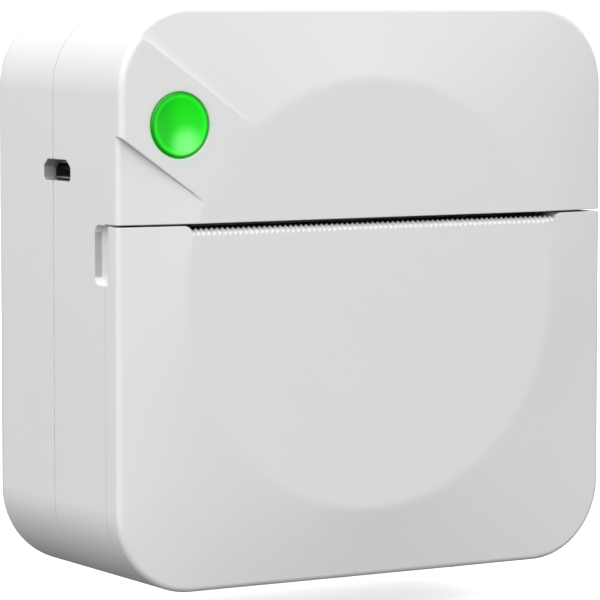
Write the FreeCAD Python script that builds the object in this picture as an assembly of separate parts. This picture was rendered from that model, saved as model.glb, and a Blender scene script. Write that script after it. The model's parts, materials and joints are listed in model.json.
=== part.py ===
import FreeCAD, Part
import math
import os

V = FreeCAD.Vector

# Overall case, millimetres. X is the width, the front faces -Y, Z is up, the base is at Z = 0.
WIDTH = 79.5
HEIGHT = 80.0
FRONT_Y = -19.8
REAR_Y = 19.8
CORNER_R = 11.3
WALL = 2.0
REAR_FILLET = 3.3
FRONT_FILLET = 0.8

# Relief of the front face: a flat disc, a falling skirt and a flat band through the button.
DISC_R = 30.2
DISC_Z = 40.0
SKIRT_DROP = 1.6
SKIRT_Y = FRONT_Y + SKIRT_DROP
BAND_HALF = 6.4
BAND_DIR = (-0.814, 0.581)
BAND_END_FILLET = 0.9
BAND_TILT_START = -9.2
BAND_TILT_END = 10.5
BAND_TILT_DROP = 0.6

# Inner space of the case.
CAVITY_FRONT_Y = -16.4
CAVITY_DISC_Y = -17.8
CAVITY_REAR_Y = 17.8

# Joint between the front and the rear shell.
PARTING_Y = 0.7
GROOVE_WIDTH = 0.3
GROOVE_DEPTH = 0.35

# Door below the paper slot.
DOOR_TOP_Z = 50.4
FASCIA_Z = 50.7
DOOR_EDGE_Y = -14.78
SHELL_EDGE_Y = -14.7
HINGE_Y = -12.5
HINGE_Z = 2.2
NOSE_R = 2.2
NOSE_HALF = 28.4
KNUCKLE_R = 1.9
KNUCKLE_X = (14.0, 22.0)
KNUCKLE_GAP = 0.3
HINGE_PIN_R = 0.75

# Tear edge along the top of the door.
TEAR_X = (-29.05, 31.05)
TEAR_END = [(1.05, 0.0), (0.75, -0.05), (0.45, -0.18), (0.22, -0.42), (0.06, -0.8), (0.0, -1.5)]
TEAR_BASE_Z = 49.05
TOOTH_COUNT = 72
TOOTH_TOP_Z = 49.4
TOOTH_DEPTH = 1.4
TOOTH_RISE = 0.72

# Finger notches in the sides of the case.
NOTCH_Y = (-15.6, -11.65)
NOTCH_Z = (42.3, 50.5)
NOTCH_DEPTH = 1.1
NOTCH_R = 1.3

# Power button and its switch.
BUTTON_X = -30.75
BUTTON_Z = 64.08
BUTTON_R = 4.5
BUTTON_HOLE_R = 4.58
BUTTON_FACE_Y = -19.66
BUTTON_TRAVEL = 0.6

# Charging socket, micro-USB size.
USB_Y = -0.55
USB_Z = 57.5
USB_OPEN_Y = 8.06
USB_OPEN_Z = 2.98
USB_SHELL_Y = 7.5
USB_SHELL_Z = 2.5
USB_MOUTH_X = -38.2

# Feed: platen, gears, motor and print head.
PLATEN_Y = -11.2
PLATEN_Z = 45.0
PLATEN_R = 4.75
PLATEN_HALF = 28.8
SHAFT_R = 1.5
BUSH_R = 2.6
MODULE = 0.5
PRESSURE_ANGLE = math.radians(25)
ADDENDUM = 0.8
DEDENDUM = 1.05
BACKLASH = 0.1
PLATEN_TEETH = 20
IDLER_SMALL_TEETH = 16
IDLER_BIG_TEETH = 36
PINION_TEETH = 12
IDLER_ANGLE = math.radians(25)
IDLER_DISTANCE = MODULE * (PLATEN_TEETH + IDLER_SMALL_TEETH) / 2
IDLER_Y = PLATEN_Y + IDLER_DISTANCE * math.cos(IDLER_ANGLE)
IDLER_Z = PLATEN_Z + IDLER_DISTANCE * math.sin(IDLER_ANGLE)
MOTOR_Y = IDLER_Y
MOTOR_Z = IDLER_Z + MODULE * (IDLER_BIG_TEETH + PINION_TEETH) / 2
GEAR_X = (33.5, 35.3)
GEAR_OUTER_X = (35.6, 37.2)
MOTOR_R = 7.5
MOTOR_X = (20.5, 31.6)
MOTOR_EAR = 8.2
PLATE_X = (32.4, 33.2)
PLATE_FRONT_Y = -12.5
WEB_Y = (0.2, 1.0)
HEAD_PIVOT_Y = -4.4
HEAD_PIVOT_Z = 40.0
HEAD_FACE_Y = PLATEN_Y + PLATEN_R + 0.12
SPRING_X = 15.0
SPRING_Z = 46.0

# Paper roll and its bin.
ROLL_Y = -0.9
ROLL_Z = 19.6
ROLL_R = 14.5
ROLL_HALF = 28.5
CORE_R = 6.4
CORE_BORE_R = 5.5
BIN_R = 16.0
BIN_WALL = 1.2
BIN_HALF = 30.5

# Main board, battery and fasteners.
BOARD_X = (-36.0, 14.0)
BOARD_Y = (3.4, 4.6)
BOARD_Z = (40.5, 67.5)
BOARD_HOLES = [(-26.0, 43.5), (11.8, 43.5), (-18.0, 64.5), (10.0, 64.5)]
BATTERY_X = (-29.0, 21.0)
BATTERY_Y = (9.0, 17.0)
BATTERY_Z = (42.0, 74.0)
CASE_SCREWS = [(-33.1, 7.9), (33.1, 7.9), (-33.1, 72.1), (33.1, 72.1)]
BIN_SCREWS = [(-34.8, 20.0), (34.8, 20.0)]
FRAME_SCREWS = [(-35.2, 55.2), (35.2, 64.6)]
BUTTON_BOARD_SCREWS = [(-24.2, 61.6), (-24.2, 66.4)]


def box(xs, ys, zs):
    """Block between the given X, Y and Z limits."""
    return Part.makeBox(xs[1] - xs[0], ys[1] - ys[0], zs[1] - zs[0], V(xs[0], ys[0], zs[0]))


def cyl_x(radius, xs, y, z):
    """Cylinder along X."""
    return Part.makeCylinder(radius, xs[1] - xs[0], V(xs[0], y, z), V(1, 0, 0))


def cyl_y(radius, ys, x, z):
    """Cylinder along Y."""
    return Part.makeCylinder(radius, ys[1] - ys[0], V(x, ys[0], z), V(0, 1, 0))


def prism_x(points, xs):
    """Polygon of (Y, Z) points drawn out along X."""
    corners = [V(xs[0], y, z) for y, z in points]
    face = Part.Face(Part.makePolygon(corners + corners[:1]))
    return face.extrude(V(xs[1] - xs[0], 0, 0))


def prism_y(points, ys):
    """Polygon of (X, Z) points drawn out along Y."""
    corners = [V(x, ys[0], z) for x, z in points]
    face = Part.Face(Part.makePolygon(corners + corners[:1]))
    return face.extrude(V(0, ys[1] - ys[0], 0))


def fuse(shapes):
    """One solid from touching or crossing shapes."""
    result = shapes[0]
    for shape in shapes[1:]:
        result = result.fuse(shape)
    return result.removeSplitter()


def cut(shape, tools):
    """Shape with every tool taken away."""
    for tool in tools:
        shape = shape.cut(tool)
    return shape.removeSplitter()


def both_sides(shape):
    """The shape and its mirror image across the middle plane."""
    return [shape, shape.mirror(V(0, 0, 0), V(1, 0, 0))]


def polar(y, z, radius, angle):
    """Point at an angle round an X axis, from +Y towards +Z."""
    return (y + radius * math.cos(angle), z + radius * math.sin(angle))


def outline_edges(inset, y):
    """Rounded square of the case as 4 lines and 4 corner arcs."""
    half = WIDTH / 2 - inset
    low = inset
    high = HEIGHT - inset
    radius = CORNER_R - inset
    edges = []
    for quarter in range(4):
        turn = math.radians(90 * quarter)
        centres = [(1, 1), (-1, 1), (-1, -1), (1, -1)]
        sx, sz = centres[quarter]
        cx = sx * (half - radius)
        cz = (high - radius) if sz > 0 else (low + radius)
        start, middle, end = [
            V(cx + radius * math.cos(turn + a), y, cz + radius * math.sin(turn + a))
            for a in (0, math.pi / 4, math.pi / 2)
        ]
        edges.append((start, middle, end))
    result = []
    for index, (start, middle, end) in enumerate(edges):
        following = edges[(index + 1) % 4][0]
        result.append(Part.Arc(start, middle, end).toShape())
        result.append(Part.LineSegment(end, following).toShape())
    return result


def outline_prism(inset, ys):
    """Rounded square drawn out along Y."""
    face = Part.Face(Part.Wire(outline_edges(inset, ys[0])))
    return face.extrude(V(0, ys[1] - ys[0], 0))


def disc_edges():
    """Edge of the flat front disc, in 8 arcs that match the case outline."""
    arc_length = CORNER_R * math.pi / 2
    line_length = WIDTH - 2 * CORNER_R
    arc_half = math.pi / 4 * arc_length / (arc_length + line_length)
    edges = []
    for quarter in range(4):
        middle = math.pi / 4 + quarter * math.pi / 2
        for start, end in ((middle - arc_half, middle + arc_half),
                           (middle + arc_half, middle + math.pi / 2 - arc_half)):
            points = [
                V(DISC_R * math.cos(a), FRONT_Y, DISC_Z + DISC_R * math.sin(a))
                for a in (start, (start + end) / 2, end)
            ]
            edges.append(Part.Arc(*points).toShape())
    return edges


def edges_at(shape, y):
    """Edges that lie wholly at one Y."""
    return [
        e for e in shape.Edges
        if abs(e.BoundBox.YMin - y) < 1e-4 and abs(e.BoundBox.YMax - y) < 1e-4
    ]


def outer_form():
    """Solid outer form of the closed case."""
    rim = outline_edges(0, SKIRT_Y)
    rear = outline_edges(0, REAR_Y)
    disc = disc_edges()
    faces = [Part.Face(Part.Wire(disc)), Part.Face(Part.Wire(rear))]
    for disc_edge, rim_edge in zip(disc, rim):
        faces.append(Part.makeRuledSurface(disc_edge, rim_edge))
        faces.append(rim_edge.extrude(V(0, REAR_Y - SKIRT_Y, 0)))
    shell = Part.makeShell(faces)
    shell.sewShape()
    form = Part.makeSolid(shell)
    if form.Volume < 0:
        form.reverse()
    form = form.makeFillet(REAR_FILLET, edges_at(form, REAR_Y))
    form = form.makeFillet(FRONT_FILLET, edges_at(form, SKIRT_Y))
    return form.fuse(button_band()).removeSplitter()


def button_band():
    """Band from the disc past the button to the corner, falling slightly outwards."""
    dx, dz = BAND_DIR
    tilt = math.atan2(BAND_TILT_DROP, BAND_TILT_END - BAND_TILT_START)
    wedge = Part.makeBox(60, 20, 80, V(0, -20, -40))
    wedge.rotate(V(0, 0, 0), V(0, 0, 1), math.degrees(tilt))
    wedge.rotate(V(0, 0, 0), V(0, 1, 0), -math.degrees(math.atan2(dz, dx)))
    start = V(BUTTON_X + BAND_TILT_START * dx, FRONT_Y, BUTTON_Z + BAND_TILT_START * dz)
    wedge.translate(start)
    slab = outline_prism(0, (FRONT_Y, FRONT_Y + 4)).cut(wedge)
    normal = V(-math.sin(tilt) * dx, math.cos(tilt), -math.sin(tilt) * dz)
    rim = [
        e for e in slab.Edges
        if all(abs((v.Point - start).dot(normal)) < 1e-4 for v in e.Vertexes)
        and e.BoundBox.YMax > FRONT_Y + 1e-3
    ]
    slab = slab.makeFillet(BAND_END_FILLET, rim)
    sides = []
    for along, across in ((-12, -1), (30, -1), (30, 1), (-12, 1)):
        x = BUTTON_X + along * dx - across * BAND_HALF * dz
        z = BUTTON_Z + along * dz + across * BAND_HALF * dx
        sides.append((x, z))
    return slab.common(prism_y(sides, (FRONT_Y - 1, FRONT_Y + 3)))


def cavity():
    """Inner space of the case, deeper behind the flat disc."""
    space = outline_prism(WALL, (CAVITY_FRONT_Y, CAVITY_REAR_Y))
    return space.fuse(cyl_y(27.0, (CAVITY_DISC_Y, 0), 0, DISC_Z)).removeSplitter()


def finger_notch(side):
    """Tool for the notch that lets a finger pull the door open."""
    y0, y1 = NOTCH_Y
    z0, z1 = NOTCH_Z
    block = box((-WIDTH / 2 - 1, -WIDTH / 2 + NOTCH_DEPTH), (y0, y1), (z0, z1))
    corner = [
        e for e in block.Edges
        if abs(e.BoundBox.YMin - y1) < 1e-4 and e.BoundBox.ZLength < 1e-4
    ]
    block = block.makeFillet(NOTCH_R, corner)
    if side > 0:
        block = block.mirror(V(0, 0, 0), V(1, 0, 0))
    return block


def usb_opening():
    """Tool for the charging opening: upper corners cut off, lower ones rounded."""
    y0 = USB_Y - USB_OPEN_Y / 2
    y1 = USB_Y + USB_OPEN_Y / 2
    z0 = USB_Z - USB_OPEN_Z / 2
    z1 = USB_Z + USB_OPEN_Z / 2
    points = [(y0, z0 + 0.4), (y0 + 0.4, z0), (y1 - 0.4, z0), (y1, z0 + 0.4),
              (y1, z1 - 1.0), (y1 - 1.2, z1), (y0 + 1.2, z1), (y0, z1 - 1.0)]
    return prism_x(points, (-WIDTH / 2 - 1, -WIDTH / 2 + WALL + 0.5))


def case_form():
    """Outer form with the groove, notches and charging opening, still solid."""
    groove_y = (PARTING_Y - GROOVE_WIDTH / 2, PARTING_Y + GROOVE_WIDTH / 2)
    ring = outline_prism(-1.0, groove_y).cut(outline_prism(GROOVE_DEPTH, groove_y))
    return cut(outer_form(), [ring, finger_notch(-1), finger_notch(1), usb_opening()])


def wall_rib(x, z, ys):
    """Rib from a corner boss to the side wall."""
    limits = (x, WIDTH / 2 - 1) if x > 0 else (1 - WIDTH / 2, x)
    return box(limits, ys, (z - 0.7, z + 0.7))


def hinge_corner_relief():
    """Tool that rounds the shell's lower front edge about the hinge line."""
    block = box((-41, 41), (SHELL_EDGE_Y - 1, HINGE_Y), (-1, HINGE_Z))
    return block.cut(cyl_x(NOSE_R, (-42, 42), HINGE_Y, HINGE_Z))


def front_shell(form, space):
    """Front half of the case: upper face, side walls, floor and bosses."""
    shell = form.common(box((-41, 41), (-21, PARTING_Y), (-1, 81))).cut(space)
    shell = shell.cut(box((-41, 41), (-21, SHELL_EDGE_Y), (-1, FASCIA_Z)))
    shell = shell.cut(hinge_corner_relief())
    nose = cyl_x(NOSE_R, (-NOSE_HALF, NOSE_HALF), HINGE_Y, HINGE_Z)
    adds = [nose, cyl_y(BUTTON_HOLE_R + 1.0, (CAVITY_FRONT_Y, -15.6), BUTTON_X, BUTTON_Z)]
    holes = [cyl_y(BUTTON_HOLE_R, (-21, -15), BUTTON_X, BUTTON_Z)]
    for x, z in CASE_SCREWS:
        ys = (CAVITY_FRONT_Y, PARTING_Y) if z > FASCIA_Z else (-10.0, PARTING_Y)
        adds += [cyl_y(2.3, ys, x, z), wall_rib(x, z, ys)]
        holes.append(cyl_y(1.01, (-7.0, PARTING_Y), x, z))
    for x, z in BIN_SCREWS:
        limits = (x - 1.8, WIDTH / 2 - 1) if x > 0 else (1 - WIDTH / 2, x + 1.8)
        adds.append(box(limits, (-11.0, -5.0), (z - 2.5, z + 2.5)))
        holes.append(cyl_y(0.91, (-10.0, -5.0), x, z))
    for x, z in FRAME_SCREWS:
        adds.append(cyl_y(1.9, (CAVITY_FRONT_Y, PLATE_FRONT_Y), x, z))
        holes.append(cyl_y(0.91, (-15.5, PLATE_FRONT_Y), x, z))
    for x, z in BUTTON_BOARD_SCREWS:
        adds.append(cyl_y(1.7, (CAVITY_FRONT_Y, -11.4), x, z))
        holes.append(cyl_y(0.71, (-15.0, -11.4), x, z))
    for x, z in BOARD_HOLES[2:]:
        adds.append(cyl_y(2.2, (CAVITY_FRONT_Y, BOARD_Y[0]), x, z))
        holes.append(cyl_y(0.91, (-3.0, BOARD_Y[0]), x, z))
    for knuckle in both_sides(knuckle_box(KNUCKLE_GAP)):
        holes.append(knuckle)
    holes.append(cyl_x(HINGE_PIN_R + 0.01, (-24.0, 24.0), HINGE_Y, HINGE_Z))
    return cut(fuse([shell] + adds), holes)


def knuckle_box(gap):
    """Space in the shell's nose for one door knuckle."""
    xs = (KNUCKLE_X[0] - gap, KNUCKLE_X[1] + gap)
    return box(xs, (SHELL_EDGE_Y - 1, -10.2), (-1, 4.7))


def rear_cover(form, space):
    """Rear half of the case with battery pocket and screw bosses."""
    cover = form.common(box((-41, 41), (PARTING_Y, 21), (-1, 81))).cut(space)
    pocket_out = box((BATTERY_X[0] - 1.3, BATTERY_X[1] + 1.3), (13.0, CAVITY_REAR_Y),
                     (BATTERY_Z[0] - 1.3, BATTERY_Z[1] + 1.3))
    pocket_in = box((BATTERY_X[0] - 0.3, BATTERY_X[1] + 0.3), (12.0, CAVITY_REAR_Y),
                    (BATTERY_Z[0] - 0.3, BATTERY_Z[1] + 0.3))
    lead_gap = box((BATTERY_X[0] - 2, BATTERY_X[0]), (12.0, 15.0), (60.0, 66.0))
    adds = [pocket_out.cut([pocket_in, lead_gap])]
    holes = []
    for x, z in CASE_SCREWS:
        adds += [cyl_y(2.9, (13.1, CAVITY_REAR_Y), x, z), cyl_y(2.3, (PARTING_Y, 13.5), x, z)]
        adds.append(wall_rib(x, z, (PARTING_Y, CAVITY_REAR_Y)))
        holes += [cyl_y(1.2, (PARTING_Y - 1, 15.0), x, z), cyl_y(2.1, (14.0, 21.0), x, z)]
    return cut(fuse([cover] + adds), holes)


def tear_teeth(form):
    """Row of teeth that rises from the front of the door's top edge."""
    left, right = TEAR_X
    pitch = (right - left) / TOOTH_COUNT
    points = [(left, TEAR_BASE_Z - 0.6)]
    for index in range(TOOTH_COUNT):
        x = left + index * pitch
        points += [(x, TEAR_BASE_Z), (x + pitch / 2, TOOTH_TOP_Z)]
    points += [(right, TEAR_BASE_Z), (right, TEAR_BASE_Z - 0.6)]
    corners = [V(x, FRONT_Y - 0.1, z - 0.05) for x, z in points]
    face = Part.Face(Part.makePolygon(corners + corners[:1]))
    return face.extrude(V(0, TOOTH_DEPTH + 0.1, TOOTH_RISE)).common(form)


def tear_recess():
    """Tool for the recess of the tear edge, with rounded ends."""
    left, right = TEAR_X
    points = [(left - dx, DOOR_TOP_Z + dz) for dx, dz in TEAR_END]
    points += [(right + dx, DOOR_TOP_Z + dz) for dx, dz in reversed(TEAR_END)]
    points += [(right + TEAR_END[0][0], 52), (left - TEAR_END[0][0], 52)]
    return prism_y(points, (-21, -14))


def door(form, space):
    """Front door with tear edge, hinge knuckles and platen brackets."""
    panel = form.common(box((-41, 41), (-21, DOOR_EDGE_Y), (-1, DOOR_TOP_Z))).cut(space)
    panel = panel.cut(tear_recess())
    adds = [tear_teeth(form)]
    bracket = [(CAVITY_FRONT_Y - 0.3, 38.5), (-12.5, 38.5), (-8.3, 43.0), (-8.3, 47.5),
               (-9.3, 48.5), (CAVITY_FRONT_Y - 0.3, 48.5)]
    adds += both_sides(prism_x(bracket, (30.2, 32.0)))
    web = box(KNUCKLE_X, (DOOR_EDGE_Y - 0.6, HINGE_Y), (0.5, 2.6))
    knuckle = web.fuse(cyl_x(KNUCKLE_R, KNUCKLE_X, HINGE_Y, HINGE_Z))
    adds += both_sides(knuckle)
    rib = box((-20.0, 20.0), (CAVITY_DISC_Y - 0.2, CAVITY_FRONT_Y - 0.4), (47.6, 48.6))
    adds.append(rib)
    holes = both_sides(cyl_x(BUSH_R + 0.01, (29, 33), PLATEN_Y, PLATEN_Z))
    holes.append(box((32.9, 35.9), (-17.1, -16.0), (38.6, 49.6)))
    holes.append(cyl_x(HINGE_PIN_R + 0.05, (-25, 25), HINGE_Y, HINGE_Z))
    return cut(fuse([panel] + adds), holes)


def hinge_pins():
    """Two steel pins that carry the door."""
    pin = cyl_x(HINGE_PIN_R, (12.1, 23.9), HINGE_Y, HINGE_Z)
    return Part.makeCompound(both_sides(pin))


def power_button():
    """Clear green cap with a retaining flange and a stem."""
    cap = cyl_y(BUTTON_R, (BUTTON_FACE_Y, -15.2), BUTTON_X, BUTTON_Z)
    cap = cap.makeFillet(0.35, edges_at(cap, BUTTON_FACE_Y))
    flange = cyl_y(5.1, (-15.4, -14.7), BUTTON_X, BUTTON_Z)
    hollow = cyl_y(3.6, (-17.4, -14.0), BUTTON_X, BUTTON_Z)
    stem = cyl_y(1.2, (-17.6, -14.2), BUTTON_X, BUTTON_Z)
    return fuse([cap.fuse(flange).cut(hollow), stem])


def tact_switch():
    """Body of the push switch behind the button."""
    body = box((BUTTON_X - 3, BUTTON_X + 3), (-13.4, -11.4), (BUTTON_Z - 3, BUTTON_Z + 3))
    return body.cut(cyl_y(1.8, (-14.0, -11.5), BUTTON_X, BUTTON_Z))


def switch_plunger():
    """Moving plunger of the push switch."""
    return cyl_y(1.7, (-14.2, -12.2), BUTTON_X, BUTTON_Z)


def status_led():
    """Lamp that lights the button."""
    return box((BUTTON_X - 0.8, BUTTON_X + 0.8), (-12.2, -11.4), (60.2, 61.0))


def button_board():
    """Small circuit board of the button."""
    board = box((-37.0, -22.0), (-11.4, -10.4), (59.6, 68.4))
    return board.cut([cyl_y(0.8, (-12, -10), x, z) for x, z in BUTTON_BOARD_SCREWS])


def screw(x, z, head_y, tip_y, head_r, shank_r, head_height):
    """Pan-head screw along Y with its head towards the rear."""
    head = cyl_y(head_r, (head_y, head_y + head_height), x, z)
    head = head.makeFillet(0.25 * head_height, edges_at(head, head_y + head_height))
    shank = cyl_y(shank_r, (tip_y, head_y + 0.1), x, z)
    arm = head_r * 0.55
    top = head_y + head_height
    cross = [box((x - arm, x + arm), (top - 0.5, top + 1), (z - 0.22, z + 0.22)),
             box((x - 0.22, x + 0.22), (top - 0.5, top + 1), (z - arm, z + arm))]
    return fuse([head, shank]).cut(cross)


def screw_set(places, head_y, tip_y, head_r, shank_r, head_height):
    """Equal screws at several places."""
    return Part.makeCompound([
        screw(x, z, head_y, tip_y, head_r, shank_r, head_height) for x, z in places
    ])


def gear(teeth, xs, y, z, bore, turn):
    """Spur gear along X with one tooth centred at the angle turn."""
    pitch_r = MODULE * teeth / 2
    base_r = pitch_r * math.cos(PRESSURE_ANGLE)
    tip_r = pitch_r + ADDENDUM * MODULE
    root_r = pitch_r - DEDENDUM * MODULE
    half = math.pi / (2 * teeth) - BACKLASH / (2 * pitch_r)
    half_base = half + math.tan(PRESSURE_ANGLE) - PRESSURE_ANGLE
    low_r = max(base_r, root_r)
    flank = []
    for step in range(4):
        radius = low_r + (tip_r - low_r) * step / 3
        roll = math.acos(min(1.0, base_r / radius))
        flank.append((radius, half_base - math.tan(roll) + roll))
    if root_r < base_r:
        flank.insert(0, (root_r, half_base))
    points = []
    for index in range(teeth):
        centre = turn + 2 * math.pi * index / teeth
        points += [polar(y, z, radius, centre - angle) for radius, angle in flank]
        points += [polar(y, z, radius, centre + angle) for radius, angle in reversed(flank)]
    return prism_x(points, xs).cut(cyl_x(bore, (xs[0] - 1, xs[1] + 1), y, z))


def idler_gear():
    """Two-step gear between the motor pinion and the platen gear."""
    gap_turn = IDLER_ANGLE + math.pi + math.pi / IDLER_SMALL_TEETH
    small = gear(IDLER_SMALL_TEETH, GEAR_X, IDLER_Y, IDLER_Z, 1.05, gap_turn)
    big = gear(IDLER_BIG_TEETH, GEAR_OUTER_X, IDLER_Y, IDLER_Z, 1.05, math.pi / 2)
    hub = cyl_x(2.4, (GEAR_X[1] - 0.2, GEAR_OUTER_X[0] + 0.2), IDLER_Y, IDLER_Z)
    hub = hub.cut(cyl_x(1.05, (34, 37), IDLER_Y, IDLER_Z))
    return fuse([small, big, hub])


def head_frame():
    """Sheet-metal frame that holds the feed: two side plates and a rear web."""
    low = 38.5
    left = [(PLATE_FRONT_Y, low), (WEB_Y[1], low), (WEB_Y[1], 50.0), (-6.0, 57.4),
            (PLATE_FRONT_Y, 57.4)]
    right = [(PLATE_FRONT_Y, low), (WEB_Y[1], low), (WEB_Y[1], 53.0), (7.5, 57.0), (7.5, 65.0),
             (5.5, 66.8), (PLATE_FRONT_Y, 66.8)]
    adds = [prism_x(left, (-PLATE_X[1], -PLATE_X[0])), prism_x(right, PLATE_X)]
    adds.append(box((-PLATE_X[1], PLATE_X[1]), WEB_Y, (low, 50.0)))
    ear_y = (PLATE_FRONT_Y, PLATE_FRONT_Y + 0.8)
    adds.append(box((-37.2, -PLATE_X[0]), ear_y, (53.0, 57.4)))
    adds.append(box((PLATE_X[0], 37.2), ear_y, (62.6, 66.6)))
    holes = [cyl_y(1.0, (-13, -11), x, z) for x, z in FRAME_SCREWS]
    for side in (-1, 1):
        xs = sorted((side * (PLATE_X[0] - 0.5), side * (PLATE_X[1] + 0.5)))
        holes.append(cyl_x(BUSH_R + 0.08, xs, PLATEN_Y, PLATEN_Z))
        reach = BUSH_R + 0.08
        holes.append(box(xs, (PLATE_FRONT_Y - 1, PLATEN_Y), (PLATEN_Z - reach, PLATEN_Z + reach)))
        holes.append(cyl_x(1.05, xs, HEAD_PIVOT_Y, HEAD_PIVOT_Z))
    right_side = (PLATE_X[0] - 0.5, PLATE_X[1] + 0.5)
    holes.append(cyl_x(1.01, right_side, IDLER_Y, IDLER_Z))
    holes.append(cyl_x(2.1, right_side, MOTOR_Y, MOTOR_Z))
    holes += [cyl_x(0.8, right_side, MOTOR_Y + s * MOTOR_EAR, MOTOR_Z) for s in (-1, 1)]
    holes += [cyl_y(0.91, (0, 1.1), x, z) for x, z in BOARD_HOLES[:2]]
    return cut(fuse(adds), holes)


def motor_flange():
    """Fixing plate on the motor's end."""
    xs = (MOTOR_X[1], PLATE_X[0])
    ears = [cyl_x(1.7, xs, MOTOR_Y + s * MOTOR_EAR, MOTOR_Z) for s in (-1, 1)]
    bar = box(xs, (MOTOR_Y - MOTOR_EAR, MOTOR_Y + MOTOR_EAR), (MOTOR_Z - 1.7, MOTOR_Z + 1.7))
    disc = cyl_x(5.6, xs, MOTOR_Y, MOTOR_Z)
    holes = [cyl_x(0.8, (31, 33), MOTOR_Y + s * MOTOR_EAR, MOTOR_Z) for s in (-1, 1)]
    holes.append(cyl_x(2.1, (31, 33), MOTOR_Y, MOTOR_Z))
    return fuse([bar, disc] + ears).cut(holes)


def motor_body():
    """Round can of the stepper motor."""
    can = cyl_x(MOTOR_R, MOTOR_X, MOTOR_Y, MOTOR_Z)
    can = can.makeFillet(0.5, [e for e in can.Edges if e.BoundBox.XLength < 1e-4])
    seat = cyl_x(2.6, (18.9, MOTOR_X[0] + 0.1), MOTOR_Y, MOTOR_Z)
    bore = cyl_x(0.8, (28.0, 32.0), MOTOR_Y, MOTOR_Z)
    return fuse([can, seat]).cut(bore)


def motor_screws():
    """Screws that hold the motor to the frame."""
    screws = []
    for side in (-1, 1):
        y = MOTOR_Y + side * MOTOR_EAR
        head = cyl_x(1.2, (PLATE_X[1], PLATE_X[1] + 0.8), y, MOTOR_Z)
        shank = cyl_x(0.75, (MOTOR_X[1], PLATE_X[1] + 0.1), y, MOTOR_Z)
        slot = box((PLATE_X[1] + 0.4, PLATE_X[1] + 2), (y - 0.8, y + 0.8),
                   (MOTOR_Z - 0.2, MOTOR_Z + 0.2))
        screws.append(fuse([head, shank]).cut(slot))
    return Part.makeCompound(screws)


def heat_sink():
    """Aluminium back of the print head, grooved, with pivot pins at its ends."""
    bar = box((-28.5, 28.5), (HEAD_FACE_Y + 0.73, -3.0), (38.8, 48.5))
    grooves = []
    for index in range(9):
        x = -24.0 + 6.0 * index
        grooves.append(box((x - 0.6, x + 0.6), (-3.8, -2.0), (41.5, 44.0)))
    pins = [cyl_x(1.0, (-33.4, -28.0), HEAD_PIVOT_Y, HEAD_PIVOT_Z),
            cyl_x(1.0, (28.0, 33.4), HEAD_PIVOT_Y, HEAD_PIVOT_Z)]
    return fuse([bar.cut(grooves)] + pins)


def head_ceramic():
    """Ceramic heater strip that faces the platen."""
    return box((-28.0, 28.0), (HEAD_FACE_Y, HEAD_FACE_Y + 0.73), (39.6, 49.0))


def head_springs():
    """Coil springs that press the head against the platen."""
    length = WEB_Y[0] + 3.0
    springs = []
    for x in (-SPRING_X, SPRING_X):
        helix = Part.makeHelix(0.72, length - 0.4, 1.3)
        corners = [V(1.3 + 0.17 * math.cos(a), 0, 0.17 * math.sin(a))
                   for a in (math.pi / 3 * k for k in range(6))]
        ring = Part.makePolygon(corners + corners[:1])
        coil = Part.Wire(helix.Edges).makePipeShell([ring], True, True)
        coil.rotate(V(0, 0, 0), V(1, 0, 0), -90)
        coil.translate(V(x, -3.0 + 0.2, SPRING_Z))
        springs.append(coil)
    return Part.makeCompound(springs)


def slot_guide():
    """Black guide over the platen that leads the paper out through the slot."""
    points = [(CAVITY_FRONT_Y, 51.4), (-9.0, 51.4), (-6.0, 49.9), (-4.9, 49.9), (-4.9, 51.6),
              (-2.0, 51.6), (-2.0, 53.0), (CAVITY_FRONT_Y, 53.0)]
    return prism_x(points, (-30.4, 30.4))


def paper_bin():
    """Trough that holds the paper roll, open towards the door."""
    outer = cyl_x(BIN_R + BIN_WALL, (-BIN_HALF, BIN_HALF), ROLL_Y, ROLL_Z)
    reach = (-BIN_HALF + BIN_WALL, BIN_HALF - BIN_WALL)
    drum = outer.cut(cyl_x(BIN_R, reach, ROLL_Y, ROLL_Z))
    keep = [(ROLL_Y, ROLL_Z)]
    for degrees in (-142, -100, -50, 0, 40, 76):
        keep.append(polar(ROLL_Y, ROLL_Z, 26.0, math.radians(degrees)))
    trough = drum.common(prism_x(keep, (-40, 40)))
    windows = both_sides(cyl_x(7.5, (20, 40), ROLL_Y, ROLL_Z))
    tabs = both_sides(box((BIN_HALF - 0.4, 36.6), (-5.0, -4.0), (17.0, 23.0)))
    arms = both_sides(prism_x([(-5.0, 17.0), (2.0, 12.0), (2.0, 26.0), (-5.0, 23.0)],
                              (BIN_HALF - 1.0, BIN_HALF)))
    body = fuse([trough.cut(windows)] + arms + tabs)
    return body.cut([cyl_y(1.0, (-6, -3), x, z) for x, z in BIN_SCREWS])


def paper_roll():
    """Wound roll of thermal paper."""
    roll = cyl_x(ROLL_R, (-ROLL_HALF, ROLL_HALF), ROLL_Y, ROLL_Z)
    return roll.cut(cyl_x(CORE_R, (-30, 30), ROLL_Y, ROLL_Z))


def roll_core():
    """Tube in the middle of the roll."""
    tube = cyl_x(CORE_R, (-ROLL_HALF, ROLL_HALF), ROLL_Y, ROLL_Z)
    return tube.cut(cyl_x(CORE_BORE_R, (-30, 30), ROLL_Y, ROLL_Z))


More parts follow.
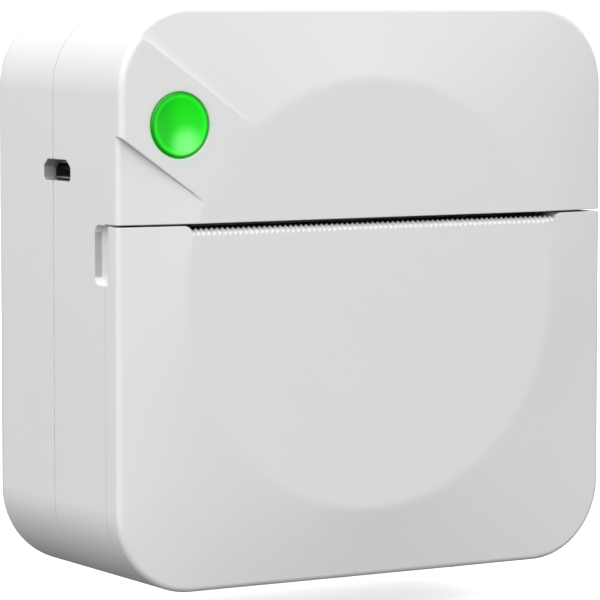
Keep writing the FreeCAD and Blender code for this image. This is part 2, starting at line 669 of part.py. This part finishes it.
def usb_socket():
    """Metal shell of the charging socket with its tongue."""
    y0 = USB_Y - USB_SHELL_Y / 2
    y1 = USB_Y + USB_SHELL_Y / 2
    z0 = USB_Z - USB_SHELL_Z / 2
    z1 = USB_Z + USB_SHELL_Z / 2

    def section(t, xs):
        return prism_x([(y0 + t, z0 + t), (y1 - t, z0 + t), (y1 - t, z1 - t - 0.9),
                        (y1 - t - 0.9, z1 - t), (y0 + t + 0.9, z1 - t), (y0 + t, z1 - t - 0.9)], xs)

    body = section(0, (USB_MOUTH_X, -33.4)).cut(section(0.3, (USB_MOUTH_X - 1, -34.4)))
    tongue = box((USB_MOUTH_X + 0.5, -34.0), (USB_Y - 2.6, USB_Y + 2.6), (USB_Z - 0.1, USB_Z + 0.5))
    foot = box((-36.0, -33.4), (y1 - 0.1, BOARD_Y[0]), (z0 + 0.9, z1))
    return fuse([body, tongue, foot])


def main_board():
    """Main circuit board."""
    board = box(BOARD_X, BOARD_Y, BOARD_Z)
    return board.cut([cyl_y(1.1, (3, 5), x, z) for x, z in BOARD_HOLES])


def board_standoffs():
    """Spacers between the frame and the main board."""
    return Part.makeCompound([
        cyl_y(2.0, (WEB_Y[1], BOARD_Y[0]), x, z).cut(cyl_y(0.91, (0, 4), x, z))
        for x, z in BOARD_HOLES[:2]
    ])


def battery():
    """Flat pouch cell."""
    cell = box(BATTERY_X, BATTERY_Y, BATTERY_Z)
    return cell.makeFillet(1.2, cell.Edges)


def pipe(edges, radius, normal):
    """Round wire along a path of edges."""
    path = Part.Wire(edges)
    start = path.Edges[0].valueAt(path.Edges[0].FirstParameter)
    profile = Part.Wire(Part.makeCircle(radius, start, normal))
    return path.makePipeShell([profile], True, True)


def line(a, b):
    """Straight edge."""
    return Part.LineSegment(V(*a), V(*b)).toShape()


def bend(a, b, c):
    """Circular edge through three points."""
    return Part.Arc(V(*a), V(*b), V(*c)).toShape()


def battery_leads():
    """Two leads from the battery to its connector."""
    leads = []
    s = 1.5 * math.sqrt(0.5)
    for z in (62.2, 63.8):
        path = [line((-29.0, 13.0, z), (-32.0, 13.0, z)),
                bend((-32.0, 13.0, z), (-32.0 - s, 11.5 + s, z), (-33.5, 11.5, z)),
                line((-33.5, 11.5, z), (-33.5, 8.0, z))]
        leads.append(pipe(path, 0.45, V(1, 0, 0)))
    return Part.makeCompound(leads)


def motor_leads():
    """Four leads from the motor to the main board."""
    leads = []
    s = 1.5 * math.sqrt(0.5)
    for index in range(4):
        z = 58.9 + 0.9 * index
        near = [line((18.9, MOTOR_Y, z), (15.5, MOTOR_Y, z)),
                bend((15.5, MOTOR_Y, z), (15.5 - s, MOTOR_Y + 1.5 - s, z), (14.0, MOTOR_Y + 1.5, z)),
                line((14.0, MOTOR_Y + 1.5, z), (14.0, 0.0, z))]
        far = [bend((14.0, 0.0, z), (14.0 - 1.5 + s, s, z), (12.5, 1.5, z)),
               line((12.5, 1.5, z), (10.0, 1.5, z))]
        leads.append(pipe(near + far, 0.35, V(1, 0, 0)))
    return Part.makeCompound(leads)


def head_ribbon():
    """Flat cable from the print head, under the frame, up to the main board."""
    y0 = -5.95
    outer = 1.6
    inner = 1.4
    start = box((-9, 9), (y0 - 0.1, y0 + 0.1), (38.9, 39.5))
    first = ring_quarter(inner, outer, y0 + 1.5, 38.9, (-1, -1))
    run = box((-9, 9), (y0 + 1.5, 0.9), (37.3, 37.5))
    second = ring_quarter(inner, outer, 0.9, 38.9, (1, -1))
    rise = box((-9, 9), (2.3, 2.5), (38.9, 42.0))
    return fuse([start, first, run, second, rise])


def ring_quarter(inner, outer, y, z, signs):
    """Quarter turn of a flat cable round an X axis."""
    ring = cyl_x(outer, (-9, 9), y, z).cut(cyl_x(inner, (-10, 10), y, z))
    ys = sorted((y, y + 3 * signs[0]))
    zs = sorted((z, z + 3 * signs[1]))
    return ring.common(box((-9, 9), ys, zs))


def build():
    """All nodes by name."""
    form = case_form()
    space = cavity()
    nodes = {
        "front_shell": front_shell(form, space),
        "rear_cover": rear_cover(form, space),
        "front_door": door(form, space),
        "hinge_pins": hinge_pins(),
        "power_button": power_button(),
        "switch_plunger": switch_plunger(),
        "tact_switch": tact_switch(),
        "status_led": status_led(),
        "button_board": button_board(),
        "button_board_screws": screw_set(BUTTON_BOARD_SCREWS, -10.4, -14.5, 1.3, 0.7, 0.9),
        "platen_roller": cyl_x(PLATEN_R, (-PLATEN_HALF, PLATEN_HALF), PLATEN_Y, PLATEN_Z).cut(
            cyl_x(SHAFT_R + 0.01, (-30, 30), PLATEN_Y, PLATEN_Z)),
        "platen_shaft": cyl_x(SHAFT_R, (-33.6, 35.4), PLATEN_Y, PLATEN_Z),
        "platen_bushes": Part.makeCompound(both_sides(
            cyl_x(BUSH_R, (29.4, 33.3), PLATEN_Y, PLATEN_Z).cut(
                cyl_x(SHAFT_R + 0.05, (29, 34), PLATEN_Y, PLATEN_Z)))),
        "platen_gear": gear(PLATEN_TEETH, GEAR_X, PLATEN_Y, PLATEN_Z, SHAFT_R + 0.01, IDLER_ANGLE),
        "idler_gear": idler_gear(),
        "idler_axle": cyl_x(1.0, (PLATE_X[0], 37.4), IDLER_Y, IDLER_Z),
        "motor_body": motor_body(),
        "motor_flange": motor_flange(),
        "motor_screws": motor_screws(),
        "motor_shaft": cyl_x(0.75, (28.5, GEAR_OUTER_X[1]), MOTOR_Y, MOTOR_Z),
        "motor_pinion": gear(PINION_TEETH, (33.5, GEAR_OUTER_X[1]), MOTOR_Y, MOTOR_Z, 0.76,
                             -math.pi / 2 + math.pi / PINION_TEETH),
        "head_frame": head_frame(),
        "frame_screws": screw_set(FRAME_SCREWS, PLATE_FRONT_Y + 0.8, -15.2, 1.6, 0.9, 1.0),
        "heat_sink": heat_sink(),
        "head_ceramic": head_ceramic(),
        "head_springs": head_springs(),
        "head_ribbon": head_ribbon(),
        "slot_guide": slot_guide(),
        "paper_sensor": box((16.0, 21.0), (-1.6, WEB_Y[0]), (38.7, 41.7)),
        "paper_bin": paper_bin(),
        "bin_screws": screw_set(BIN_SCREWS, -4.0, -9.5, 1.7, 0.9, 1.1),
        "paper_roll": paper_roll(),
        "roll_core": roll_core(),
        "main_board": main_board(),
        "board_standoffs": board_standoffs(),
        "board_screws": screw_set(BOARD_HOLES, BOARD_Y[1], 0.3, 1.8, 0.9, 1.0),
        "controller_chip": box((-6.0, 1.0), (BOARD_Y[1], 5.6), (51.0, 58.0)),
        "radio_module": box((-26.0, -12.0), (BOARD_Y[1], 6.8), (50.0, 61.0)),
        "usb_socket": usb_socket(),
        "head_connector": box((-9.6, 9.6), (1.5, BOARD_Y[0]), (42.0, 45.6)),
        "motor_connector": box((5.0, 10.0), (0.3, BOARD_Y[0]), (58.0, 62.2)),
        "battery_connector": box((-35.6, -31.4), (BOARD_Y[1], 8.0), (61.0, 65.0)),
        "capacitors": Part.makeCompound([
            cyl_y(2.0, (BOARD_Y[1], 8.4), -33.4, z) for z in (46.5, 52.0)]),
        "battery": battery(),
        "battery_pad": box((-20.0, 12.0), (BATTERY_Y[1], CAVITY_REAR_Y), (50.0, 66.0)),
        "battery_leads": battery_leads(),
        "motor_leads": motor_leads(),
        "case_screws": screw_set(CASE_SCREWS, 14.0, -6.5, 1.9, 1.0, 1.5),
    }
    return nodes


def main():
    os.makedirs("parts", exist_ok=True)
    for name, shape in build().items():
        shape.exportStep("parts/" + name + ".step")


main()
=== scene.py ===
import json
import math

import bmesh
import bpy
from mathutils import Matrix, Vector


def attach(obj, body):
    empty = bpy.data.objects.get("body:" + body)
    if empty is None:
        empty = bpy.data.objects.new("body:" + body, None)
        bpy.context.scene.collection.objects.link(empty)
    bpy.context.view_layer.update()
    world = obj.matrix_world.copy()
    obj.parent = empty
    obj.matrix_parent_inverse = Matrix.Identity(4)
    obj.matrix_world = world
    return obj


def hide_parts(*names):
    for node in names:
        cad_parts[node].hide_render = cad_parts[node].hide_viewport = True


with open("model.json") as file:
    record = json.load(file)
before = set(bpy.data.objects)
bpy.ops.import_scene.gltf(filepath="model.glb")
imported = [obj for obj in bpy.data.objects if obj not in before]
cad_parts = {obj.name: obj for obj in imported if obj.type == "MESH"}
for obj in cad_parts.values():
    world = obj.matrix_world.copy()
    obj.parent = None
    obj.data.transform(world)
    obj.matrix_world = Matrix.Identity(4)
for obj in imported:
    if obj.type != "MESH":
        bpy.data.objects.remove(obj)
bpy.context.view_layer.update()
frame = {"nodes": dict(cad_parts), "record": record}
scene = bpy.context.scene
MM = 0.001

# Places in the CAD frame (mm)
BUTTON_X, BUTTON_Z = -30.75, 64.08
DISC_Z, DISC_R = 40.0, 30.2
SLOT_Z = 50.55
NOTCH_REAR_Y, NOTCH_Z = -11.65, 46.4
SOCKET_Y, SOCKET_Z = -0.55, 57.5
TONGUE_Z, TONGUE_X = 57.7, (-33.9, -33.8)
SIDE_SKIN_X = (39.66, 39.72)  # masks of the painted shade on recess walls fade out before the outer face
ROLL_AXIS = (0, -0.9, 19.6)
HEATER_Z = 45.0
LAYER_PITCH, TRACK_PITCH = 0.22, 1.0


# ---------------------------------------------------------------- node helpers
class Tree:
    """Short names for the nodes that the materials share."""

    def __init__(self, name):
        self.material = bpy.data.materials.new(name)
        self.material.use_nodes = True
        self.nodes = self.material.node_tree.nodes
        self.links = self.material.node_tree.links
        self.shader = self.nodes["Principled BSDF"]
        self.place = self.nodes.new("ShaderNodeTexCoord").outputs["Object"]

    def node(self, kind, settings=None, **inputs):
        n = self.nodes.new(kind)
        for key, value in (settings or {}).items():
            setattr(n, key, value)
        for key, value in inputs.items():
            self.plug(value, n.inputs[key.replace("_", " ")])
        return n

    def plug(self, value, socket):
        if isinstance(value, bpy.types.NodeSocket):
            self.links.new(value, socket)
        else:
            socket.default_value = value

    def set(self, **inputs):
        for key, value in inputs.items():
            self.plug(value, self.shader.inputs[key.replace("_", " ")])

    def math(self, operation, a, b=0.0):
        n = self.nodes.new("ShaderNodeMath")
        n.operation = operation
        self.plug(a, n.inputs[0])
        self.plug(b, n.inputs[1])
        return n.outputs[0]

    def vector(self, operation, a, b=(0, 0, 0)):
        n = self.nodes.new("ShaderNodeVectorMath")
        n.operation = operation
        self.plug(a, n.inputs[0])
        self.plug(b, n.inputs[1])
        return n.outputs["Value" if operation in ("DOT_PRODUCT", "LENGTH") else "Vector"]

    def ramp(self, value, low, high, to_low=0.0, to_high=1.0, smooth=False):
        n = self.nodes.new("ShaderNodeMapRange")
        n.interpolation_type = "SMOOTHSTEP" if smooth else "LINEAR"
        for key, v in (("Value", value), ("From Min", low), ("From Max", high),
                       ("To Min", to_low), ("To Max", to_high)):
            self.plug(v, n.inputs[key])
        return n.outputs["Result"]

    def noise(self, size, detail=2.0, stretch=(1, 1, 1)):
        """Noise whose features are about size mm across."""
        place = self.place
        if stretch != (1, 1, 1):
            place = self.vector("MULTIPLY", place, stretch)
        n = self.node("ShaderNodeTexNoise", Vector=place, Scale=1.0 / (size * MM), Detail=detail)
        return n.outputs["Fac"]

    def blend(self, factor, a, b):
        n = self.nodes.new("ShaderNodeMix")
        n.data_type = "RGBA"
        self.plug(factor, n.inputs["Factor"])
        self.plug(a, n.inputs[6])
        self.plug(b, n.inputs[7])
        return n.outputs[2]

    def distance(self, centre, axis):
        """Distance from a line through centre along one axis, in metres."""
        keep = tuple(0.0 if i == axis else 1.0 for i in range(3))
        away = self.vector("SUBTRACT", self.place, tuple(c * MM for c in centre))
        return self.vector("LENGTH", self.vector("MULTIPLY", away, keep))

    def along(self, axis):
        return self.node("ShaderNodeSeparateXYZ", Vector=self.place).outputs[axis]

    def band(self, axis, centre, half, outer, inside=1.0, outside=0.0):
        """One value within half of centre along an axis, another beyond outer (mm)."""
        off = self.math("ABSOLUTE", self.math("SUBTRACT", self.along(axis), centre * MM))
        return self.ramp(off, half * MM, outer * MM, inside, outside)

    def product(self, first, *others):
        for other in others:
            first = self.math("MULTIPLY", first, other)
        return first


def shade(colour, factor):
    return tuple(min(1.0, c * factor) for c in colour) + (1.0,)


def finish(name, colour, rough, metal=0.0, grain=0.3, height=0.004, tint=0.05, spread=0.06,
           wear=0.10, edge=0.12, stretch=(1, 1, 1), patch=14.0, radius=None, overlay=None,
           **extra):
    """Moulded, ground or drawn surface: grain, patches, softened and worn edges."""
    t = Tree(name)
    fine = t.noise(grain, 3.0, stretch)
    broad = t.noise(patch, 4.0)
    width = radius(t) if radius else edge * MM
    round_edge = t.node("ShaderNodeBevel", {"samples": 6}, Radius=width)
    true = t.node("ShaderNodeNewGeometry").outputs["Normal"]
    facing = t.vector("DOT_PRODUCT", round_edge.outputs["Normal"], true)
    at_edge = t.ramp(facing, 0.995, 0.80)
    worn = t.math("MULTIPLY", at_edge, t.ramp(broad, 0.35, 0.65))
    base = t.blend(broad, shade(colour, 1 - tint), shade(colour, 1 + tint))
    base = t.blend(t.math("MULTIPLY", worn, wear), base, shade(colour, 1.25))
    if overlay:
        base = overlay(t, base)
    mixed = t.math("ADD", t.math("MULTIPLY", fine, 0.5), t.math("MULTIPLY", broad, 0.5))
    roughness = t.ramp(mixed, 0.3, 0.7, rough - spread, rough + spread)
    roughness = t.math("ADD", roughness, t.math("MULTIPLY", worn, 0.06))
    bump = t.node("ShaderNodeBump", Strength=1.0, Distance=height * MM, Height=fine,
                  Normal=round_edge.outputs["Normal"])
    t.set(Base_Color=base, Roughness=roughness, Metallic=metal, Normal=bump.outputs["Normal"])
    t.set(**extra)
    return t.material


# ---------------------------------------------------------------- patterns, painted glow and painted shade laid over a finish
def button_glow(t, base):
    """Green light of the lit button that shows faintly through the white shell."""
    painted_light_ring = t.ramp(t.distance((BUTTON_X, 0, BUTTON_Z), 1), 4.55 * MM, 5.7 * MM, 1.0, 0.0, True)
    front = t.ramp(t.along(1), -19.0 * MM, -18.0 * MM, 1.0, 0.0)
    return t.blend(t.product(painted_light_ring, front, 0.22), base, (0.42, 0.90, 0.42, 1.0))


def case_shading(t, base):
    """Button glow, and painted shade on the walls of the notches and the socket opening."""
    base = button_glow(t, base)
    side = t.math("ABSOLUTE", t.along(0))
    skin = t.ramp(side, SIDE_SKIN_X[0] * MM, SIDE_SKIN_X[1] * MM, 1.0, 0.0)
    # painted shade on the rear wall of the finger notch, on both sides
    notch_painted_shade = t.product(t.band(1, NOTCH_REAR_Y, 0.02, 0.05), t.ramp(side, 38.5 * MM, 38.6 * MM),
                      skin, t.band(2, NOTCH_Z, 4.0, 4.3))
    base = t.blend(notch_painted_shade, base, (0.46, 0.46, 0.465, 1.0))
    # painted shade on the walls of the socket opening
    socket = t.product(t.band(1, SOCKET_Y, 4.3, 4.5), t.band(2, SOCKET_Z, 1.7, 1.9),
                       t.ramp(side, 38.0 * MM, 38.1 * MM), skin,
                       t.ramp(t.along(0), -1.0 * MM, 1.0 * MM, 1.0, 0.0))
    return t.blend(socket, base, (0.36, 0.36, 0.365, 1.0))


def disc_softness(t):
    """Edge rounding: small everywhere, broad along the rim of the flat disc."""
    off_rim = t.math("ABSOLUTE", t.math("SUBTRACT", t.distance((0, 0, DISC_Z), 1), DISC_R * MM))
    near = t.ramp(off_rim, 1.0 * MM, 3.0 * MM, 1.0, 0.0, True)
    front = t.ramp(t.along(1), -19.4 * MM, -19.0 * MM, 1.0, 0.0)
    clear = t.band(2, SLOT_Z, 2.5, 4.0, 0.0, 1.0)
    return t.ramp(t.product(near, front, clear), 0.0, 1.0, 0.20 * MM, 1.8 * MM)


def paper_layers(t, base):
    """Fine rings of the wound paper on the roll's end faces."""
    depth = t.distance(ROLL_AXIS, 0)
    rings = t.math("SINE", t.math("MULTIPLY", depth, 2 * math.pi / (LAYER_PITCH * MM)))
    uneven = t.math("MULTIPLY", t.ramp(rings, -1.0, 1.0), t.noise(2.5, 3.0))
    return t.blend(t.math("MULTIPLY", uneven, 0.4), base, (0.52, 0.50, 0.47, 1.0))


def board_tracks(t, base):
    """Tracks and pads under the solder mask."""
    flat = t.vector("MULTIPLY", t.place, (1.0, 0.0, 1.0))
    swap = t.node("ShaderNodeMapping", Vector=flat, Rotation=(math.pi / 2, 0, 0))
    tracks = t.node("ShaderNodeTexBrick", {"offset": 0.37, "squash": 0.6, "squash_frequency": 3},
                    Vector=swap.outputs[0], Scale=1.0, Mortar_Size=0.11 * MM,
                    Brick_Width=3.4 * MM, Row_Height=0.62 * MM)
    pads = t.node("ShaderNodeTexVoronoi", {"feature": "F1"}, Vector=flat, Scale=420.0)
    pad = t.ramp(pads.outputs["Distance"], 0.16, 0.18, 1.0, 0.0)
    base = t.blend(t.math("MULTIPLY", tracks.outputs["Fac"], 0.6), base, (0.05, 0.36, 0.16, 1.0))
    return t.blend(t.math("MULTIPLY", pad, 0.8), base, (0.62, 0.60, 0.52, 1.0))


def cable_tracks(t, base):
    """Copper conductors seen through the film."""
    lines = t.math("SINE", t.math("MULTIPLY", t.along(0), 2 * math.pi / (TRACK_PITCH * MM)))
    return t.blend(t.ramp(lines, -0.2, 0.2, 0.0, 0.7), base, (0.72, 0.34, 0.10, 1.0))


def heater_line(t, base):
    """Dark glazed heating line across the ceramic strip."""
    return t.blend(t.band(2, HEATER_Z, 0.35, 0.5, 0.9), base, (0.06, 0.045, 0.04, 1.0))


def socket_tongue(t, base):
    """Black plastic tongue in the middle of the charging socket."""
    inside = t.product(t.band(1, SOCKET_Y, 2.62, 2.66), t.band(2, TONGUE_Z, 0.32, 0.36),
                       t.ramp(t.along(0), TONGUE_X[0] * MM, TONGUE_X[1] * MM, 1.0, 0.0))
    return t.blend(inside, base, (0.006, 0.006, 0.007, 1.0))


# ---------------------------------------------------------------- finishes by material slot
WHITE = (0.805, 0.805, 0.807)
ALONG_X, ALONG_Y = (0.05, 1, 1), (1, 0.05, 1)
FINISHES = {
    "white_case": dict(colour=WHITE, rough=0.40, grain=0.16, height=0.0022, tint=0.008,
                       spread=0.05, wear=0.15, radius=disc_softness, overlay=case_shading,
                       Coat_Weight=0.04, Coat_Roughness=0.30),
    "black_plastic": dict(colour=(0.012, 0.012, 0.013), rough=0.50, grain=0.2, height=0.006),
    "white_connector": dict(colour=(0.70, 0.68, 0.60), rough=0.48, grain=0.25),
    "dark_connector": dict(colour=(0.05, 0.05, 0.055), rough=0.50, grain=0.25),
    "led": dict(colour=(0.30, 0.80, 0.28), rough=0.15, grain=0.3, Emission_Strength=2.0,
                Emission_Color=(0.2, 1.0, 0.2, 1.0)),
    "circuit_board": dict(colour=(0.012, 0.15, 0.06), rough=0.32, grain=0.4, overlay=board_tracks),
    "steel": dict(colour=(0.56, 0.56, 0.57), rough=0.30, metal=1.0, grain=0.12, stretch=ALONG_X,
                  wear=0.3),
    "rubber": dict(colour=(0.022, 0.022, 0.024), rough=0.72, grain=0.10, height=0.010,
                   stretch=ALONG_X, spread=0.10),
    "acetal": dict(colour=(0.74, 0.74, 0.69), rough=0.42, grain=0.25, wear=0.2),
    "brass": dict(colour=(0.68, 0.47, 0.17), rough=0.28, metal=1.0, grain=0.12, stretch=ALONG_X,
                  wear=0.3),
    "zinc_steel": dict(colour=(0.50, 0.51, 0.53), rough=0.36, metal=1.0, grain=0.9, tint=0.14,
                       patch=5.0, wear=0.3),
    "aluminium": dict(colour=(0.66, 0.67, 0.68), rough=0.34, metal=1.0, grain=0.14,
                      stretch=ALONG_X, wear=0.3),
    "ceramic": dict(colour=(0.68, 0.66, 0.60), rough=0.30, grain=0.15, overlay=heater_line),
    "flex_cable": dict(colour=(0.42, 0.17, 0.03), rough=0.26, grain=0.5, overlay=cable_tracks),
    "bin_plastic": dict(colour=(0.36, 0.37, 0.38), rough=0.46, grain=0.22, height=0.008),
    "paper": dict(colour=(0.85, 0.84, 0.81), rough=0.60, grain=0.12, height=0.003, tint=0.02,
                  overlay=paper_layers),
    "core_board": dict(colour=(0.30, 0.20, 0.12), rough=0.80, grain=0.25, height=0.02,
                       stretch=(0.3, 1, 1), tint=0.15),
    "plated_shell": dict(colour=(0.30, 0.295, 0.29), rough=0.34, metal=1.0, grain=0.2,
                         stretch=ALONG_Y, wear=0.35, overlay=socket_tongue),
    "capacitor_can": dict(colour=(0.52, 0.53, 0.55), rough=0.30, metal=1.0, grain=0.15,
                          stretch=ALONG_Y),
    "pouch": dict(colour=(0.58, 0.59, 0.61), rough=0.34, metal=0.7, grain=2.8, height=0.06,
                  tint=0.10),
    "foam": dict(colour=(0.02, 0.02, 0.02), rough=0.90, grain=0.35, height=0.08, spread=0.05),
    "lead_red": dict(colour=(0.45, 0.012, 0.01), rough=0.45, grain=0.3, stretch=ALONG_X),
    "lead_grey": dict(colour=(0.22, 0.22, 0.225), rough=0.45, grain=0.3, stretch=ALONG_X),
}


def green_lens():
    """Clear green cap lit from inside, with a darker rim; its bright ring, darker left side and
    brighter lower right are painted highlight and painted shade, and the glow takes the same
    colours.
    """
    t = Tree("green_lens")
    depth = t.distance((BUTTON_X, 0, BUTTON_Z), 1)
    rim = t.ramp(depth, 3.98 * MM, 4.32 * MM, 0.0, 1.0, True)
    # painted highlight: bright ring just inside the rim
    painted_light_ring = t.math("MULTIPLY", t.ramp(depth, 3.3 * MM, 3.8 * MM, 0.0, 1.0, True),
                  t.ramp(depth, 3.85 * MM, 4.1 * MM, 1.0, 0.0, True))
    # painted shade: the cap darker towards its left side
    side = t.ramp(t.along(0), (BUTTON_X - 2.4) * MM, (BUTTON_X + 0.6) * MM, 0.0, 1.0, True)
    # painted highlight at the lower right of the cap
    painted_highlight_distance = t.distance((BUTTON_X + 1.0, 0, BUTTON_Z - 2.6), 1)
    painted_highlight = t.ramp(painted_highlight_distance, 0.4 * MM, 3.2 * MM, 1.0, 0.0, True)
    cloud = t.noise(1.8, 3.0)
    base = t.blend(side, (0.002, 0.54, 0.003, 1.0), (0.003, 0.72, 0.004, 1.0))
    base = t.blend(t.math("MULTIPLY", painted_light_ring, 0.6), base, (0.015, 0.90, 0.02, 1.0))
    base = t.blend(t.math("MULTIPLY", painted_highlight, 0.9), base, (0.20, 0.98, 0.21, 1.0))
    base = t.blend(t.math("MULTIPLY", cloud, 0.08), base, (0.0, 0.35, 0.0, 1.0))
    base = t.blend(t.math("MULTIPLY", rim, 0.9), base, (0.002, 0.20, 0.003, 1.0))
    glow = t.ramp(depth, 4.42 * MM, 4.50 * MM, 0.25, 1.2)
    fine = t.noise(0.5, 2.0)
    bump = t.node("ShaderNodeBump", Strength=1.0, Distance=0.002 * MM, Height=fine)
    # the emission uses the same colours, painted highlight and shade included
    t.set(Base_Color=base, Emission_Color=base, Emission_Strength=glow, Coat_Weight=0.12,
          Coat_Roughness=0.10, Specular_IOR_Level=0.35, Normal=bump.outputs["Normal"],
          Roughness=t.ramp(cloud, 0.3, 0.7, 0.22, 0.32))
    return t.material


materials = {name: finish(name, **settings) for name, settings in FINISHES.items()}
materials["green_lens"] = green_lens()

for row in frame["record"]["subparts"]:
    data = frame["nodes"][row["node"]].data
    data.materials.clear()
    data.materials.append(materials[row["material_slot"]])


# ---------------------------------------------------------------- button cap
def lathe(name, profile, x, z, steps=96):
    """Body turned about an axis along Y from (radius, y) points in mm."""
    bm = bmesh.new()
    rings = []
    for radius, y in profile:
        if radius == 0:
            rings.append([bm.verts.new((x * MM, y * MM, z * MM))])
            continue
        rings.append([
            bm.verts.new(((x + radius * math.cos(2 * math.pi * i / steps)) * MM, y * MM,
                          (z + radius * math.sin(2 * math.pi * i / steps)) * MM))
            for i in range(steps)
        ])
    for first, second in zip(rings, rings[1:]):
        for i in range(steps):
            j = (i + 1) % steps
            corners = [first[i % len(first)], first[j % len(first)],
                       second[j % len(second)], second[i % len(second)]]
            bm.faces.new(list(dict.fromkeys(corners)))
    bmesh.ops.recalc_face_normals(bm, faces=bm.faces)
    mesh = bpy.data.meshes.new(name)
    bm.to_mesh(mesh)
    bm.free()
    for face in mesh.polygons:
        face.use_smooth = True
    mesh.set_sharp_from_angle(angle=math.radians(40))
    piece = bpy.data.objects.new(name, mesh)
    scene.collection.objects.link(piece)
    return piece


CAP_PROFILE = [
    (0.0, -19.42), (0.8, -19.424), (1.6, -19.438), (2.3, -19.460), (2.9, -19.492),
    (3.3, -19.530), (3.55, -19.575), (3.70, -19.615), (3.82, -19.640), (3.94, -19.650),
    (4.08, -19.640), (4.22, -19.605), (4.34, -19.540), (4.44, -19.440), (4.49, -19.320),
    (4.50, -19.200), (4.50, -15.40), (5.10, -15.40), (5.10, -14.70), (3.60, -14.70),
    (3.60, -17.40), (1.20, -17.40), (1.20, -14.20), (0.0, -14.20),
]
cap = lathe("button_cap", CAP_PROFILE, BUTTON_X, BUTTON_Z)
cap.data.materials.append(materials["green_lens"])
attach(cap, "button")
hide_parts("power_button")


# ---------------------------------------------------------------- floor, light and camera
FLOOR_Z, FLOOR_HALF = -5.8, 4.0  # mm, m; the open door's panel swings 5.1 mm below the base


def floor():
    t = Tree("floor")
    soft = t.noise(60.0, 2.0)
    t.set(Base_Color=t.blend(soft, (0.74, 0.74, 0.74, 1.0), (0.76, 0.76, 0.76, 1.0)),
          Roughness=t.ramp(soft, 0.0, 1.0, 0.55, 0.65), Emission_Strength=0.60,
          Emission_Color=(1.0, 1.0, 1.0, 1.0))
    mesh = bpy.data.meshes.new("floor")
    corners = [(-1, -1), (1, -1), (1, 1), (-1, 1)]
    mesh.from_pydata([(x * FLOOR_HALF, y * FLOOR_HALF, 0) for x, y in corners], [],
                     [(0, 1, 2, 3)])
    mesh.materials.append(t.material)
    piece = bpy.data.objects.new("floor", mesh)
    scene.collection.objects.link(piece)
    piece.location.z = FLOOR_Z * MM
    piece.visible_diffuse = False
    piece.visible_glossy = False


def softbox(name, place, size, power, target):
    light = bpy.data.lights.new(name, "AREA")
    light.shape = "RECTANGLE"
    light.size, light.size_y = size
    light.energy = power
    piece = bpy.data.objects.new(name, light)
    scene.collection.objects.link(piece)
    piece.location = place
    piece.rotation_euler = (Vector(target) - Vector(place)).to_track_quat("-Z", "Y").to_euler()


CENTRE = Vector((0, 0.85, 40.15)) * MM
floor()
softbox("left_box", (-0.42, -0.38, 0.30), (0.30, 0.40), 0.85, CENTRE)
softbox("side_box", (-0.60, 0.08, 0.06), (0.40, 0.40), 0.17, CENTRE)
softbox("back_box", (0.40, 0.62, 0.34), (0.50, 0.50), 3.2, CENTRE)

sun = bpy.data.lights.new("ceiling", "SUN")
sun.energy = 0.68 * math.pi
sun.angle = math.radians(70)
ceiling = bpy.data.objects.new("ceiling", sun)
scene.collection.objects.link(ceiling)
ceiling.rotation_euler = Vector((-0.32, -0.42, 0.85)).to_track_quat("Z", "Y").to_euler()

# Room: soft from above, dimmer from below, white along the horizon
world = bpy.data.worlds.new("studio")
world.use_nodes = True
room = world.node_tree
height = room.nodes.new("ShaderNodeSeparateXYZ")
room.links.new(room.nodes.new("ShaderNodeTexCoord").outputs["Generated"], height.inputs[0])
tone = room.nodes.new("ShaderNodeValToRGB")
span = room.nodes.new("ShaderNodeMapRange")
span.inputs["From Min"].default_value = -1.0
room.links.new(height.outputs["Z"], span.inputs["Value"])
room.links.new(span.outputs["Result"], tone.inputs["Fac"])
room.links.new(tone.outputs["Color"], room.nodes["Background"].inputs["Color"])
stops = [(0.0, 0.14), (0.46, 0.24), (0.485, 1.02), (0.53, 1.02), (0.57, 0.54), (1.0, 0.68)]
tone.color_ramp.elements[1].position = 1.0
while len(tone.color_ramp.elements) < len(stops):
    tone.color_ramp.elements.new(0.5)
for element, (place, value) in zip(tone.color_ramp.elements, stops):
    element.position = place
    element.color = (value, value, value, 1.0)
scene.world = world
scene.view_settings.view_transform = "Standard"

# Camera: focal length and shift as parts of the frame's side
SENSOR, FOCAL, SHIFT = 36, 3584.25 / 600, -(300 - 282.9) / 600
AIM = CENTRE + Vector((0.25, 0, 0)) * MM
BACK = Vector((-0.5112, -0.8560, 0.0774)).normalized()
STAND_OFF = 0.5189
lens = bpy.data.cameras.new("camera")
lens.sensor_width = SENSOR
lens.lens = SENSOR * FOCAL
lens.shift_y = SHIFT
lens.clip_start = 0.01
camera = bpy.data.objects.new("camera", lens)
scene.collection.objects.link(camera)
camera.location = AIM + BACK * STAND_OFF
camera.rotation_euler = (-BACK).to_track_quat("-Z", "Y").to_euler()
scene.camera = camera
